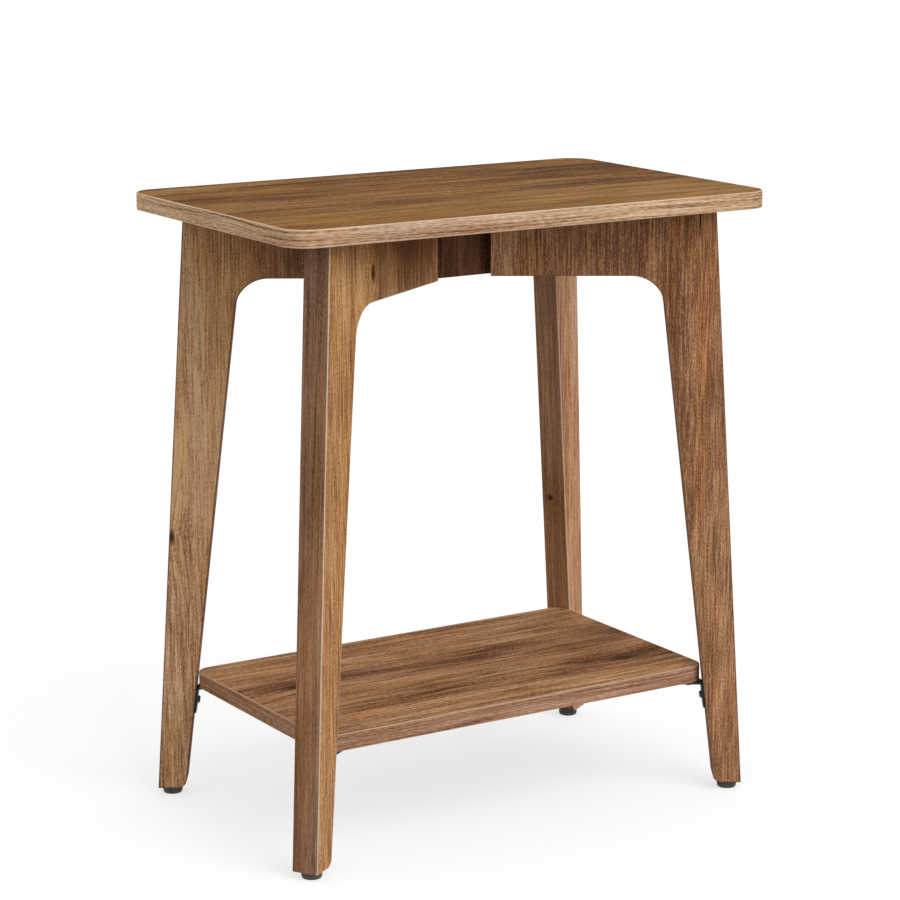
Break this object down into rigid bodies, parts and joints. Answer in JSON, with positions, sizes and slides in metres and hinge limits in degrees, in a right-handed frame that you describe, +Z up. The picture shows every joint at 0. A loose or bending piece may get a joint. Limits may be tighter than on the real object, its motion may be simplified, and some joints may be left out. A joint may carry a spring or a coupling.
{
  "type": "side table with lower shelf",
  "caption": "Narrow side table: rounded board top on inverted-L board legs set on a forked plan, with a lower shelf hung on corner brackets and round feet.",
  "frame": {"origin": "on the floor under the middle of the table", "axes": "+X along the long side to the right, +Y from the front to the back, +Z up"},
  "size_m": [0.48, 0.3, 0.55],
  "materials": {
    "top_board": "satin",
    "shelf_board": "satin",
    "leg_board": "satin",
    "edge_band": "satin",
    "leg_edge_band": "satin",
    "black_steel": "matte",
    "black_screw": "satin",
    "black_plastic": "matte",
    "bolt_steel": "satin",
    "insert_zinc": "satin",
    "dowel_beech": "matte"
  },
  "bodies": {
    "root": {"top_panel": "top_board", "top_edge_band": "edge_band", "shelf_panel": "shelf_board", "shelf_edge_band": "edge_band", "centre_rail": "leg_board", "centre_rail_edge_band": "edge_band", "leg_front_left": "leg_board", "leg_edge_band_front_left": "leg_edge_band", "shelf_bracket_front_left": "black_steel", "foot_front_left": "black_plastic", "leg_back_left": "leg_board", "leg_edge_band_back_left": "leg_edge_band", "shelf_bracket_back_left": "black_steel", "foot_back_left": "black_plastic", "leg_front_right": "leg_board", "leg_edge_band_front_right": "leg_edge_band", "shelf_bracket_front_right": "black_steel", "foot_front_right": "black_plastic", "leg_back_right": "leg_board", "leg_edge_band_back_right": "leg_edge_band", "shelf_bracket_back_right": "black_steel", "foot_back_right": "black_plastic", "bracket_screws": "black_screw", "foot_screws": "black_screw", "top_bolts": "bolt_steel", "insert_nuts": "insert_zinc", "wing_dowels": "dowel_beech"}
  },
  "joints": []
}
